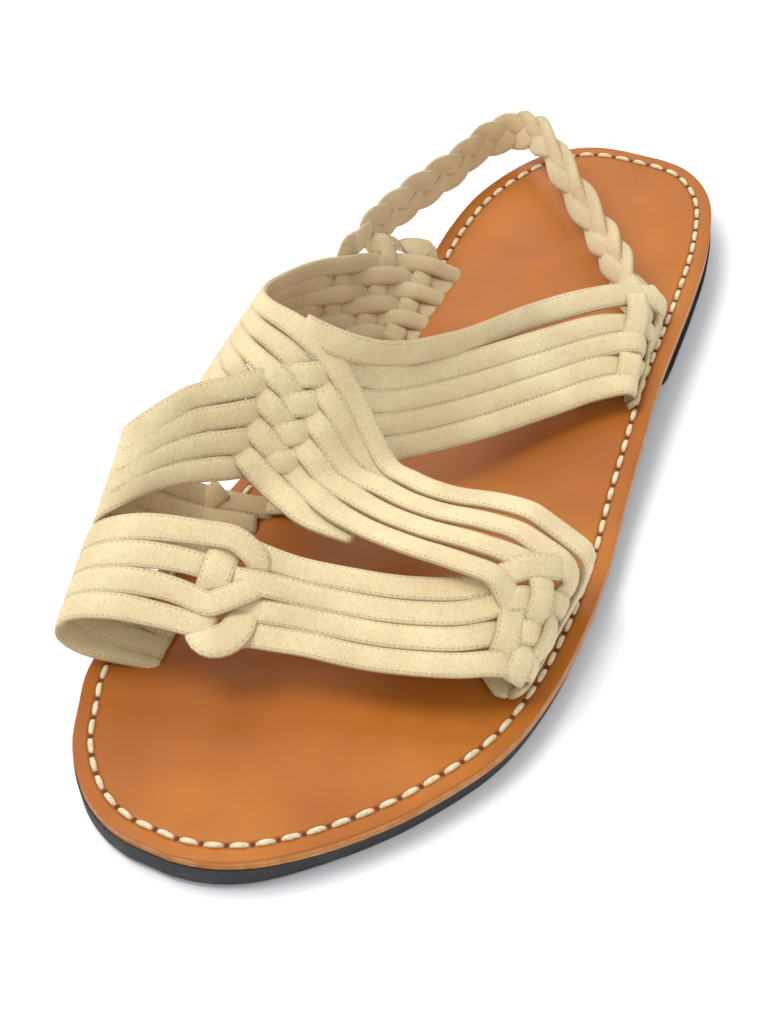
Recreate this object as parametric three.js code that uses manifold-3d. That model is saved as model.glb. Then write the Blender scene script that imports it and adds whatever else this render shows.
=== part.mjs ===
// A left huarache sandal: a flat leather insole on a rubber outsole with a low heel lift,
// and an upper of flat tubular straps that cross over the toes and the instep, with a braided heel sling.
// Millimetres, +Z up. The toe points along -Y, the heel along +Y, the outer side of the foot along +X.
import * as THREE from "three";
import { mergeVertices } from "three/addons/utils/BufferGeometryUtils.js";
import Module from "manifold-3d";

const wasm = await Module();
wasm.setup();

// Driving sizes.
const LENGTH = 270;
const BALL_WIDTH = 101.5;
const OUTSOLE_THICK = 4.9;
const INSOLE_THICK = 2.9;
const HEEL_RAISE = 4.3;
const HEEL_FRONT_Y = 54;
const TOE_SPRING = 1.6;
const PIECE_GAP = 0.3;
const STRAP_THICK = 2.4;
const STRAP_FOLD = 0.9;
const GROOVE_DEPTH = 0.75;
const WEAVE_LIFT = 1.1;
const BRAID_STRAP_WIDTH = 7;
const BRAID_PLAITS = 7;
const BRAID_REACH = 0.23;
const BRAID_LIFT = 0.9;
const CROSSING_RANGE = 9;
const ORIGIN_X = 7;

// Where the sole leaves the floor.
const FOREFOOT_FLAT_FRONT = -60;
const FOREFOOT_FLAT_REAR = -20;
const HEEL_FLAT_FRONT = 55;

// How far the rubber stands out past the insole, and the rounding of each layer's rim.
const OUTSOLE_OVERHANG = 0.4;
const HEEL_OVERHANG = 0.6;
const OUTSOLE_BEVEL = 0.6;
const LAYER_BEVEL = 0.5;
const CLEARANCE_BEVEL = 0.4;
const CLEARANCE_BOTTOM = -5;

// Fineness of the meshes.
const SOLE_ROWS = 32;
const CLEARANCE_ROWS = 28;
const HEEL_ROWS = 14;
const EDGE_SEARCH_STEPS = 30;
const CROSSING_SEARCH_STEPS = 60;
const MERGE_DISTANCE = 1e-4;

// Outline of the insole: half widths outward and inward of the centre line, from toe to heel.
const OUTLINE = [
  { y: -135, outer: 8, inner: 3 },
  { y: -133.5, outer: 15, inner: 9.5 },
  { y: -129, outer: 24.5, inner: 18 },
  { y: -120, outer: 35, inner: 27 },
  { y: -110, outer: 43.5, inner: 32.5 },
  { y: -100, outer: 50, inner: 37 },
  { y: -80, outer: 59, inner: 39.5 },
  { y: -60, outer: 61.5, inner: 40 },
  { y: -40, outer: 60.5, inner: 39 },
  { y: -20, outer: 57.5, inner: 38 },
  { y: 0, outer: 53, inner: 35 },
  { y: 20, outer: 49, inner: 32 },
  { y: 40, outer: 45, inner: 31 },
  { y: 60, outer: 42, inner: 33 },
  { y: 80, outer: 39, inner: 35.5 },
  { y: 100, outer: 35, inner: 35 },
  { y: 120, outer: 28, inner: 28.5 },
  { y: 129, outer: 21, inner: 21.5 },
  { y: 133.5, outer: 14, inner: 14 },
  { y: 135, outer: 7, inner: 7 },
];
const OUTLINE_LENGTH = 270;
const OUTLINE_BALL_WIDTH = 101.5;
const WIDTH_SCALE = BALL_WIDTH / OUTLINE_BALL_WIDTH;
const LENGTH_SCALE = LENGTH / OUTLINE_LENGTH;

// Each band of straps is a sheet between two edges. A row is one section across the band:
// the place of its edge nearer the heel, then the place of its edge nearer the toe.
const BAND_COLUMNS = ["heelX", "heelY", "heelZ", "toeX", "toeY", "toeZ"];
const TOE_BAND = [
  [-26, -74, 8, -22, -98, 8],
  [-38, -77, 12.5, -34, -100, 11],
  [-46, -80, 22, -43.5, -100, 15.5],
  [-44, -80, 33, -41, -99, 22.5],
  [-34, -77, 39, -30, -96, 25],
  [-21, -73, 40, -19, -93, 23],
  [-9, -69, 36, -8, -91, 20.5],
  [2, -66, 31, 5, -87, 19],
  [13, -62, 28, 18, -83, 18.5],
  [26, -58, 27, 31, -79, 18.5],
  [40, -53, 29, 43, -75, 18.5],
  [49, -43, 31, 52, -70, 17],
  [56, -34, 23, 57, -66, 13.5],
  [54, -29, 8, 53, -64, 8],
];
const FRONT_INSTEP_BAND = [
  [54, -29, 8, 53, -65, 8],
  [57.5, -28, 15, 56.5, -65, 13.5],
  [54, -26, 23, 55, -62, 23],
  [46, -26, 28, 49, -58, 31],
  [35, -27, 29, 37, -58, 33],
  [22, -28, 27, 24, -57, 32],
  [10, -26, 26, 10, -55, 30.5],
  [1, -24, 31, -1, -53, 30.5],
  [-7, -22, 42, -9, -50, 32],
  [-13, -21, 51, -17, -48, 35],
  [-22, -21, 57, -26, -46, 42],
  [-32, -18, 57, -35, -41, 47],
  [-39, -8, 52, -42, -31, 42],
  [-41, 4, 47, -44, -16, 33],
  [-41, 18, 41, -42, 0, 25],
  [-38, 36, 32, -36, 15, 18],
  [-31, 54, 21, -28, 26, 14],
  [-23, 64, 11, -21, 32, 10],
];
const REAR_INSTEP_BAND = [
  [-25, -34, 8, -28, -60, 8],
  [-38, -44, 17, -42, -70, 16],
  [-46, -56, 34, -47, -77, 26],
  [-45, -62, 46, -44, -76, 34],
  [-40, -58, 51, -39, -71, 37],
  [-34, -49, 54, -33, -63, 36],
  [-27, -41, 54, -23, -53, 33],
  [-21, -31, 52, -15, -44, 30],
  [-14, -20, 47, -6, -33, 26],
  [-7, -10, 39, 3, -19, 21],
  [3, 7, 33, 14, -3, 17.5],
  [17, 31, 28, 26, 14, 16],
  [27, 47, 24.5, 35, 25, 16],
  [35, 56, 20, 42, 30, 15],
  [36, 56, 10, 40, 32, 9.5],
];
const TOP_STRAP = [
  [31, 69, 10, 34, 61, 10],
  [35, 69, 16, 37, 61, 16],
  [31, 65, 23, 33, 58, 21],
  [22, 54, 28, 26, 48, 24.5],
  [12, 36, 32, 14, 32, 26.5],
  [2, 10, 38.5, 3, 8, 32],
  [-8, -10, 48, -7, -10, 40.5],
  [-17, -21, 58, -15, -23, 52],
  [-30, -21, 61, -27, -27, 57.5],
];
const HEEL_SLING = [
  [33, 60, 22, 24, 61, 10],
  [25, 71, 27, 14, 74, 15],
  [14, 82, 28, 5, 84, 15.5],
  [-2, 97, 31, -12, 102, 16],
  [-24, 118, 31, -24, 114.5, 17],
  [-33, 120.5, 29, -32, 118, 15],
  [-39, 113, 28, -39, 111, 14.5],
  [-41, 97, 29, -41, 96, 14.5],
  [-42, 78, 33, -42, 77, 18],
  [-42, 59, 37, -42, 59, 22],
  [-42, 45, 38, -42, 47, 24],
  [-39, 30, 35, -39, 36, 22],
];
const TOE_KNOT = [
  [-20, -69.5, 38, -8, -65.5, 35],
  [-19, -74, 38.5, -7, -70, 36],
  [-17.5, -81, 34, -5, -77.5, 31],
  [-15, -88, 28, -3.5, -85, 24.5],
  [-14, -92.5, 21, -3, -89.5, 18.5],
];

const MATERIALS = {
  strap: new THREE.MeshStandardMaterial({ color: 0xd9c592, roughness: 0.85, metalness: 0 }),
  insole: new THREE.MeshStandardMaterial({ color: 0xb06a2c, roughness: 0.45, metalness: 0 }),
  rubber: new THREE.MeshStandardMaterial({ color: 0x1d1c1e, roughness: 0.8, metalness: 0 }),
};

function smoothStep(from, to, value) {
  const part = Math.min(Math.max((value - from) / (to - from), 0), 1);
  return part * part * (3 - 2 * part);
}

// Height of the sole's underside above the floor: the spring at the toe and the rise to the heel lift.
function soleRise(y) {
  const spring = Math.max((FOREFOOT_FLAT_FRONT - y) / (LENGTH / 2 + FOREFOOT_FLAT_FRONT), 0);
  return TOE_SPRING * spring * spring + HEEL_RAISE * smoothStep(FOREFOOT_FLAT_REAR, HEEL_FLAT_FRONT, y);
}

// Smooth curve through one column of the outline table, read as a half width at a place along the sole.
const outlineCurves = {
  outer: new THREE.CatmullRomCurve3(OUTLINE.map((row) => new THREE.Vector3(row.outer, row.y, 0))),
  inner: new THREE.CatmullRomCurve3(OUTLINE.map((row) => new THREE.Vector3(-row.inner, row.y, 0))),
};

// The sole's grid: rows from toe to heel, each with columns from the inner edge to the outer edge.
function soleRows(rowCount, columns, grow, fromY) {
  const rows = [];
  const startPart = fromY === null ? 0 : (fromY * LENGTH_SCALE + LENGTH / 2) / LENGTH;
  for (let i = 0; i <= rowCount; i += 1) {
    const isWhole = fromY === null;
    const turn = (Math.PI * i) / rowCount;
    const ease = isWhole ? (1 - Math.cos(turn)) / 2 : Math.sin(turn / 2);
    const y = -LENGTH / 2 + LENGTH * (startPart + (1 - startPart) * ease);
    const outer = edgeAt("outer", y);
    const inner = edgeAt("inner", y);
    const row = [];
    for (let c = 0; c <= columns; c += 1) {
      const across = c / columns;
      row.push(new THREE.Vector2(inner * (1 - across) + outer * across, y));
    }
    rows.push(row);
  }
  return growRows(rows, grow, fromY);
}

function edgeAt(side, y) {
  const curve = outlineCurves[side];
  let low = 0;
  let high = 1;
  for (let step = 0; step < EDGE_SEARCH_STEPS; step += 1) {
    const middle = (low + high) / 2;
    if (curve.getPoint(middle).y * LENGTH_SCALE < y) low = middle;
    else high = middle;
  }
  return curve.getPoint(low).x * WIDTH_SCALE;
}

// Pushes the rim of the grid outward along its own normal by the given distance.
function growRows(rows, grow, fromY) {
  if (grow === 0) return rows;
  const rim = rimOf(rows);
  const shifts = rim.map((place, i) => {
    const before = rim[(i + rim.length - 1) % rim.length];
    const after = rim[(i + 1) % rim.length];
    const along = new THREE.Vector2().subVectors(after, before).normalize();
    return new THREE.Vector2(along.y, -along.x).multiplyScalar(grow);
  });
  rim.forEach((place, i) => {
    const isFrontCut = fromY !== null && i <= rows[0].length - 1;
    if (isFrontCut) place.x += shifts[i].x;
    else place.add(shifts[i]);
  });
  return rows;
}

// The rim of the grid, counter-clockwise seen from above, starting at the inner end of the toe row.
function rimOf(rows) {
  const last = rows.length - 1;
  const columns = rows[0].length - 1;
  const rim = rows[0].slice();
  for (let i = 1; i < last; i += 1) rim.push(rows[i][columns]);
  rim.push(...rows[last].slice().reverse());
  for (let i = last - 1; i > 0; i -= 1) rim.push(rows[i][0]);
  return rim;
}

// A closed layer of the sole between two heights, with both rims rounded by a small bevel.
function soleLayer({ grow = 0, bevel, fromY = null, rowCount, columns = 4, bottom, top }) {
  const vertices = [];
  const triangles = [];
  const addGrid = (rows, height, facingUp) => {
    const start = vertices.length;
    rows.forEach((row) => row.forEach((place) => vertices.push([place.x, place.y, height(place.y)])));
    const wide = rows[0].length;
    for (let i = 0; i < rows.length - 1; i += 1) {
      for (let c = 0; c < wide - 1; c += 1) {
        const a = start + i * wide + c;
        const b = a + 1;
        const d = a + wide;
        const e = d + 1;
        if (facingUp) triangles.push([a, b, e], [a, e, d]);
        else triangles.push([a, e, b], [a, d, e]);
      }
    }
  };
  const addRing = (rows, height) => {
    const start = vertices.length;
    const rim = rimOf(rows);
    rim.forEach((place) => vertices.push([place.x, place.y, height(place.y)]));
    return { start, size: rim.length };
  };
  const addWall = (low, high) => {
    for (let i = 0; i < low.size; i += 1) {
      const next = (i + 1) % low.size;
      triangles.push([low.start + i, low.start + next, high.start + next]);
      triangles.push([low.start + i, high.start + next, high.start + i]);
    }
  };
  const insetRows = soleRows(rowCount, columns, grow - bevel, fromY);
  const fullRows = soleRows(rowCount, columns, grow, fromY);
  addGrid(insetRows, bottom, false);
  addGrid(insetRows, top, true);
  const rings = [
    addRing(insetRows, bottom),
    addRing(fullRows, (y) => bottom(y) + bevel),
    addRing(fullRows, (y) => top(y) - bevel),
    addRing(insetRows, top),
  ];
  for (let i = 0; i < rings.length - 1; i += 1) addWall(rings[i], rings[i + 1]);
  return meshOf(vertices, triangles);
}

function meshOf(vertices, triangles) {
  const geometry = new THREE.BufferGeometry();
  geometry.setAttribute("position", new THREE.Float32BufferAttribute(vertices.flat(), 3));
  geometry.setIndex(triangles.flat());
  return mergeVertices(geometry, MERGE_DISTANCE);
}

// Reads a band table into its two smooth edges.
function bandEdges(table) {
  const rows = table.map((values) => Object.fromEntries(BAND_COLUMNS.map((name, i) => [name, values[i]])));
  const placeAt = (x, y, z) => new THREE.Vector3(x * WIDTH_SCALE, y * LENGTH_SCALE, z);
  const heelSide = rows.map((row) => placeAt(row.heelX, row.heelY, row.heelZ));
  const toeSide = rows.map((row) => placeAt(row.toeX, row.toeY, row.toeZ));
  return { heelSide: new THREE.CatmullRomCurve3(heelSide), toeSide: new THREE.CatmullRomCurve3(toeSide) };
}

// One section of a band: a place, the direction across it and the direction out of its face.
function bandFrame(edges, along, across) {
  const sample = (t) => {
    const part = Math.min(Math.max(t, 0), 1);
    const heelPoint = edges.heelSide.getPoint(part);
    const toePoint = edges.toeSide.getPoint(part);
    return { heelPoint, toePoint, centre: heelPoint.clone().lerp(toePoint, across) };
  };
  const here = sample(along);
  const ahead = sample(along + 0.01).centre;
  const behind = sample(along - 0.01).centre;
  const tangent = ahead.sub(behind).normalize();
  const side = here.toePoint.clone().sub(here.heelPoint);
  const width = side.length();
  side.addScaledVector(tangent, -side.dot(tangent)).normalize();
  const normal = new THREE.Vector3().crossVectors(side, tangent).normalize();
  return { centre: here.centre, side, normal, width };
}

// Where a place lies across another band, counted in straps, or null when it is off that band.
function strapNumberAt(place, other) {
  let nearest = null;
  for (let i = 0; i <= CROSSING_SEARCH_STEPS; i += 1) {
    const heelPoint = other.edges.heelSide.getPoint(i / CROSSING_SEARCH_STEPS);
    const toePoint = other.edges.toeSide.getPoint(i / CROSSING_SEARCH_STEPS);
    const acrossVector = toePoint.clone().sub(heelPoint);
    const across = place.clone().sub(heelPoint).dot(acrossVector) / acrossVector.lengthSq();
    const distance = heelPoint.addScaledVector(acrossVector, across).distanceTo(place);
    if (nearest === null || distance < nearest.distance) nearest = { distance, across };
  }
  const margin = 0.5 / other.straps;
  const isOff = nearest.distance > CROSSING_RANGE || nearest.across < -margin || nearest.across > 1 + margin;
  return isOff ? null : nearest.across * other.straps - 0.5;
}

// Sections of every strap of a band, lifted over and under the straps of the bands that it crosses.
function weaveBand(band, crossings) {
  const straps = [];
  for (let s = 0; s < band.straps; s += 1) {
    const sections = [];
    for (let i = 0; i <= band.steps; i += 1) {
      const frame = bandFrame(band.edges, i / band.steps, (s + 0.5) / band.straps);
      let lift = 0;
      crossings.forEach(({ other, sign }) => {
        const number = strapNumberAt(frame.centre, other);
        if (number !== null) lift = sign * WEAVE_LIFT * Math.cos(Math.PI * (number + s));
      });
      frame.centre.addScaledVector(frame.normal, band.faceSign * lift);
      sections.push({ ...frame, halfWidth: frame.width / band.straps / 2 });
    }
    straps.push(sections);
  }
  return straps;
}

// Sections of a flat three-strand braid that fills a band.
function braidBand(band) {
  const strands = [];
  for (let s = 0; s < 3; s += 1) {
    const sections = [];
    for (let i = 0; i <= band.steps; i += 1) {
      const along = i / band.steps;
      const phase = 2 * Math.PI * (along * BRAID_PLAITS + s / 3);
      const reach = 0.5 + BRAID_REACH * Math.sin(phase);
      const frame = bandFrame(band.edges, along, reach);
      frame.centre.addScaledVector(frame.normal, BRAID_LIFT * Math.sin(2 * phase));
      sections.push({ ...frame, halfWidth: BRAID_STRAP_WIDTH / 2 });
    }
    strands.push(sections);
  }
  return strands;
}

// One wall of straps lying edge to edge, with a groove along each joint between two straps.
function wallMesh(straps) {
  const vertices = [];
  const triangles = [];
  const half = STRAP_THICK / 2;
  const groove = half - GROOVE_DEPTH;
  const last = straps.length - 1;
  const stationCount = straps[0].length;
  const corner = ({ centre, side, normal }, across, out) => {
    return centre.clone().addScaledVector(side, across).addScaledVector(normal, out);
  };
  for (let i = 0; i < stationCount; i += 1) {
    const ring = [corner(straps[0][i], -straps[0][i].halfWidth, 0)];
    const addFace = (order, facing) => {
      order.forEach((s, n) => {
        const fold = straps[s][i].halfWidth - STRAP_FOLD;
        ring.push(corner(straps[s][i], -fold * facing, half * -facing));
        ring.push(corner(straps[s][i], fold * facing, half * -facing));
        if (n === order.length - 1) return;
        const next = order[n + 1];
        const here = corner(straps[s][i], straps[s][i].halfWidth * facing, groove * -facing);
        const there = corner(straps[next][i], -straps[next][i].halfWidth * facing, groove * -facing);
        ring.push(here.lerp(there, 0.5));
      });
    };
    const order = straps.map((strap, s) => s);
    addFace(order, 1);
    ring.push(corner(straps[last][i], straps[last][i].halfWidth, 0));
    addFace(order.reverse(), -1);
    ring.forEach((place) => vertices.push(place.toArray()));
  }
  const sides = vertices.length / stationCount;
  for (let i = 0; i < stationCount - 1; i += 1) {
    for (let c = 0; c < sides; c += 1) {
      const a = i * sides + c;
      const b = i * sides + ((c + 1) % sides);
      triangles.push([a, b, b + sides], [a, b + sides, a + sides]);
    }
  }
  const end = (stationCount - 1) * sides;
  for (let c = 1; c < sides / 2; c += 1) {
    const mirrored = sides - c;
    triangles.push([c, c - 1, (mirrored + 1) % sides], [c, (mirrored + 1) % sides, mirrored]);
    triangles.push([end + c - 1, end + c, end + ((mirrored + 1) % sides)]);
    triangles.push([end + c, end + mirrored, end + ((mirrored + 1) % sides)]);
  }
  const tip = sides / 2;
  triangles.push([tip, tip - 1, tip + 1], [end + tip - 1, end + tip, end + tip + 1]);
  const isFlat = ([i, j, k]) => i === j || j === k || i === k;
  return meshOf(vertices, triangles.filter((triangle) => !isFlat(triangle)));
}

function solidOf(geometry) {
  const mesh = new wasm.Mesh({
    numProp: 3,
    vertProperties: new Float32Array(geometry.getAttribute("position").array),
    triVerts: new Uint32Array(geometry.getIndex().array),
  });
  const solid = new wasm.Manifold(mesh);
  return solid.volume() < 0 ? solidOf(flipped(geometry)) : solid;
}

function flipped(geometry) {
  const index = Array.from(geometry.getIndex().array);
  for (let i = 0; i < index.length; i += 3) [index[i + 1], index[i + 2]] = [index[i + 2], index[i + 1]];
  const copy = geometry.clone();
  copy.setIndex(index);
  return copy;
}

// The largest body of a solid, without the small pockets that woven straps close in.
function mainBody(solid) {
  return solid.decompose().reduce((best, piece) => (piece.volume() > best.volume() ? piece : best));
}

function geometryOf(solid) {
  const mesh = solid.getMesh();
  const geometry = new THREE.BufferGeometry();
  geometry.setAttribute("position", new THREE.Float32BufferAttribute(mesh.vertProperties, 3));
  geometry.setIndex(Array.from(mesh.triVerts));
  return geometry;
}

function buildUpper() {
  const bands = {
    toe: { edges: bandEdges(TOE_BAND), straps: 4, steps: 20, faceSign: 1 },
    front: { edges: bandEdges(FRONT_INSTEP_BAND), straps: 5, steps: 28, faceSign: -1 },
    rear: { edges: bandEdges(REAR_INSTEP_BAND), straps: 4, steps: 24, faceSign: 1 },
    top: { edges: bandEdges(TOP_STRAP), straps: 1, steps: 13, faceSign: -1 },
    sling: { edges: bandEdges(HEEL_SLING), straps: 3, steps: 32, faceSign: -1 },
    knot: { edges: bandEdges(TOE_KNOT), straps: 2, steps: 5, faceSign: 1 },
  };
  const walls = [
    weaveBand(bands.toe, [{ other: bands.front, sign: 1 }]),
    weaveBand(bands.front, [{ other: bands.toe, sign: -1 }, { other: bands.rear, sign: -1 }]),
    weaveBand(bands.rear, [{ other: bands.front, sign: 1 }]),
    weaveBand(bands.top, []),
    weaveBand(bands.knot, []),
    ...braidBand(bands.sling).map((strand) => [strand]),
  ];
  const joined = wasm.Manifold.union(walls.map((straps) => solidOf(wallMesh(straps))));
  const soleClearance = soleLayer({
    grow: PIECE_GAP,
    bevel: CLEARANCE_BEVEL,
    rowCount: CLEARANCE_ROWS,
    bottom: () => CLEARANCE_BOTTOM,
    top: (y) => insoleTop(y) + PIECE_GAP,
  });
  return geometryOf(mainBody(joined.subtract(solidOf(soleClearance))));
}

function insoleBottom(y) {
  return OUTSOLE_THICK + PIECE_GAP + soleRise(y);
}

function insoleTop(y) {
  return insoleBottom(y) + INSOLE_THICK;
}

function buildOutsole() {
  return soleLayer({
    grow: OUTSOLE_OVERHANG,
    bevel: OUTSOLE_BEVEL,
    rowCount: SOLE_ROWS,
    bottom: soleRise,
    top: (y) => soleRise(y) + OUTSOLE_THICK,
  });
}

function buildInsole() {
  return soleLayer({ bevel: LAYER_BEVEL, rowCount: SOLE_ROWS, bottom: insoleBottom, top: insoleTop });
}

function buildHeelLift() {
  return soleLayer({
    grow: HEEL_OVERHANG,
    bevel: LAYER_BEVEL,
    fromY: HEEL_FRONT_Y,
    rowCount: HEEL_ROWS,
    bottom: () => 0,
    top: (y) => soleRise(y) - PIECE_GAP,
  });
}

function named(name, geometry, material) {
  const mesh = new THREE.Mesh(geometry, material);
  mesh.name = name;
  return mesh;
}

const sandal = new THREE.Group();
sandal.add(named("rubber_outsole", buildOutsole(), MATERIALS.rubber));
sandal.add(named("rubber_heel_lift", buildHeelLift(), MATERIALS.rubber));
sandal.add(named("leather_insole", buildInsole(), MATERIALS.insole));
sandal.add(named("strap_upper", buildUpper(), MATERIALS.strap));

// The tables are measured from the line between heel and toe, and the origin is the middle of the whole width.
sandal.position.x = -ORIGIN_X;

export default sandal;
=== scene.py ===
"""A left huarache sandal: stitched leather insole, rubber sole with a low heel, and woven tape straps."""
import math

import bmesh
import bpy
from mathutils import Matrix, Vector, noise


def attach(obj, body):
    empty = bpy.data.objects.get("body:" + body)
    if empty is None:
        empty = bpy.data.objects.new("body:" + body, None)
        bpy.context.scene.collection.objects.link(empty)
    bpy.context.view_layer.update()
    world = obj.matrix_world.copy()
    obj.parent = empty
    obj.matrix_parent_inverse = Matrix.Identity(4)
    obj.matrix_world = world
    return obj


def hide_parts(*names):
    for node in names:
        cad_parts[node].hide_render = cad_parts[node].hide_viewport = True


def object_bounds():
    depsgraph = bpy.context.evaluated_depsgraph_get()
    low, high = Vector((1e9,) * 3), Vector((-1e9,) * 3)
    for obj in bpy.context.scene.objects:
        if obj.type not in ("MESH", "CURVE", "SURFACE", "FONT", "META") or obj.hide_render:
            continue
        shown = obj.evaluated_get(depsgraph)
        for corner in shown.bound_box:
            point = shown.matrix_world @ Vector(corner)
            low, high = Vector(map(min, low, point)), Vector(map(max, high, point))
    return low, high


bl_info = {
    "name": "Huarache Sandal",
    "version": (1, 0, 0),
    "blender": (4, 5, 0),
    "location": "View3D > Sidebar > Sandal",
    "description": "Builds a woven huarache sandal around its packed frame",
    "category": "Add Mesh",
}

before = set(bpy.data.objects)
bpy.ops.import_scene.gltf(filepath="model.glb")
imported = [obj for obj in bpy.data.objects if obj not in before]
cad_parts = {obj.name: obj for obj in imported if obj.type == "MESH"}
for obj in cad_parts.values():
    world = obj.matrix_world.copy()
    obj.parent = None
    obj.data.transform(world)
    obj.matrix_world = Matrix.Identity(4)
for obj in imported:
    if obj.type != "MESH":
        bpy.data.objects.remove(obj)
CAD_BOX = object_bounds()

MM = 0.001
ORIGIN_X = 7.0

# Sole sizes in millimetres.
LENGTH = 270.0
OUTSOLE_THICK = 4.9
INSOLE_THICK = 2.9
HEEL_RAISE = 4.3
HEEL_FRONT_Y = 54.0
TOE_SPRING = 1.6
LAYER_GAP = 0.05
OUTSOLE_OVERHANG = 0.4
HEEL_OVERHANG = 0.6
RUBBER_UNDERCUT = 1.8
FOREFOOT_FLAT_FRONT = -60.0
FOREFOOT_FLAT_REAR = -20.0
HEEL_FLAT_FRONT = 55.0
STITCH_MARGIN = 4.05
OUTLINE_STEP = 2.6
SOLE_CUTS = 54
# Rings inset from the insole's rim, closest together near the stitches.
INSOLE_RINGS = (1.2, 2.8, 3.5, 4.05, 4.6, 5.3)

# Outline of the insole: place along the foot, half width outward and half width inward.
OUTLINE = [
    (-135, 8, 3), (-133.5, 15, 9.5), (-129, 24.5, 18), (-120, 35, 27), (-110, 43.5, 32.5),
    (-100, 50, 37), (-80, 59, 39.5), (-60, 61.5, 40), (-40, 60.5, 39), (-20, 57.5, 38),
    (0, 53, 35), (20, 49, 32), (40, 45, 31), (60, 42, 33), (80, 39, 35.5),
    (100, 35, 35), (120, 28, 28.5), (129, 21, 21.5), (133.5, 14, 14), (135, 7, 7),
]

# Each band of straps is a sheet between two edges.
# A row is one section: its edge nearer the heel (x, y, z), then its edge nearer the toe (x, y, z).
BAND_TABLES = {
    "toe": [
        (-26, -74, 8, -22, -98, 8), (-38, -77, 12.5, -34, -100, 11), (-46, -80, 22, -43.5, -100, 15.5),
        (-44, -80, 33, -41, -99, 22.5), (-34, -77, 39, -30, -96, 25), (-21, -73, 40, -19, -93, 23),
        (-9, -69, 36, -8, -91, 20.5), (2, -66, 31, 5, -87, 19), (13, -62, 28, 18, -83, 18.5),
        (26, -58, 27, 31, -79, 18.5), (40, -53, 29, 43, -75, 18.5), (49, -43, 31, 52, -70, 17),
        (56, -34, 23, 57, -66, 13.5), (54, -29, 8, 53, -64, 8),
    ],
    "front": [
        (54, -29, 8, 53, -65, 8), (57.5, -28, 15, 56.5, -65, 13.5), (54, -26, 23, 55, -62, 23),
        (46, -26, 28, 49, -58, 31), (35, -27, 29, 37, -58, 33), (22, -28, 27, 24, -57, 32),
        (10, -26, 26, 10, -55, 30.5), (1, -24, 31, -1, -53, 30.5), (-7, -22, 42, -9, -50, 32),
        (-13, -21, 51, -17, -48, 35), (-22, -21, 57, -26, -46, 42), (-32, -18, 57, -35, -41, 47),
        (-39, -8, 52, -42, -31, 42), (-41, 4, 47, -44, -16, 33), (-41, 18, 41, -42, 0, 25),
        (-38, 36, 32, -36, 15, 18), (-31, 54, 21, -28, 26, 14), (-23, 64, 11, -21, 32, 10),
    ],
    "rear": [
        (-25, -34, 8, -28, -60, 8), (-38, -44, 17, -42, -70, 16), (-46, -56, 34, -47, -77, 26),
        (-45, -62, 46, -44, -76, 34), (-40, -58, 51, -39, -71, 37), (-34, -49, 54, -33, -63, 36),
        (-27, -41, 54, -23, -53, 33), (-21, -31, 52, -15, -44, 30), (-14, -20, 47, -6, -33, 26),
        (-7, -10, 39, 3, -19, 21), (3, 7, 33, 14, -3, 17.5), (17, 31, 28, 26, 14, 16),
        (27, 47, 24.5, 35, 25, 16), (35, 56, 20, 42, 30, 15), (36, 56, 10, 40, 32, 9.5),
    ],
    "top": [
        (31, 69, 10, 34, 61, 10), (35, 69, 16, 37, 61, 16), (31, 65, 23, 33, 58, 21),
        (22, 54, 28, 26, 48, 24.5), (12, 36, 32, 14, 32, 26.5), (2, 10, 38.5, 3, 8, 32),
        (-8, -10, 48, -7, -10, 40.5), (-17, -21, 58, -15, -23, 52), (-30, -21, 61, -27, -27, 57.5),
    ],
    "sling": [
        (33, 60, 22, 24, 61, 10), (25, 71, 27, 14, 74, 15), (14, 82, 28, 5, 84, 15.5),
        (-2, 97, 31, -12, 102, 16), (-24, 118, 31, -24, 114.5, 17), (-33, 120.5, 29, -32, 118, 15),
        (-39, 113, 28, -39, 111, 14.5), (-41, 97, 29, -41, 96, 14.5), (-42, 78, 33, -42, 77, 18),
        (-42, 59, 37, -42, 59, 22), (-42, 45, 38, -42, 47, 24), (-39, 30, 35, -39, 36, 22),
    ],
}
BAND_OUTWARD = {"toe": 1, "front": -1, "rear": 1, "top": -1, "sling": -1}
BAND_SAMPLES = 140

# Straps in each band. Lanes run across a band from 0 at its heel-side edge to 1 at its toe-side edge.
FRONT_COUNT = 6
FRONT_FIRST_LANE = 0.04
FRONT_LANE_STEP = 0.205
FRONT_ARM_LANES = (0.125, 0.17, 0.375, 0.625, 0.875, 0.9)
REAR_COUNT = 4
TOE_COUNT = 4
SLING_COUNT = 3

# How near the other band a strap must lie before it starts and finishes rising over it.
CROSSING_NEAR = 7
CROSSING_FAR = 13

# The tape's cloth: threads along it, and stitches in the hem near each edge.
THREAD_PITCH = 0.55
HEM_STITCH_PITCH = 1.25
INSOLE_SEAM_DEPTH = 1.9

# A flat tube of tape: the corners of its ring, and how square the ring is across and through.
TAPE_SIDES = 22
TAPE_ACROSS_POWER = 0.6
TAPE_OUT_POWER = 0.7
TAPE_CROWN = 0.22
ROUND_END_LENGTH = 2.6


def smooth_step(start, end, value):
    part = min(max((value - start) / (end - start), 0.0), 1.0)
    return part * part * (3 - 2 * part)


def sole_rise(y):
    """Height of the sole's underside above the floor."""
    spring = max((FOREFOOT_FLAT_FRONT - y) / (LENGTH / 2 + FOREFOOT_FLAT_FRONT), 0.0)
    return TOE_SPRING * spring * spring + HEEL_RAISE * smooth_step(FOREFOOT_FLAT_REAR, HEEL_FLAT_FRONT, y)


def insole_top(y):
    return OUTSOLE_THICK + LAYER_GAP + INSOLE_THICK + sole_rise(y)


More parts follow.
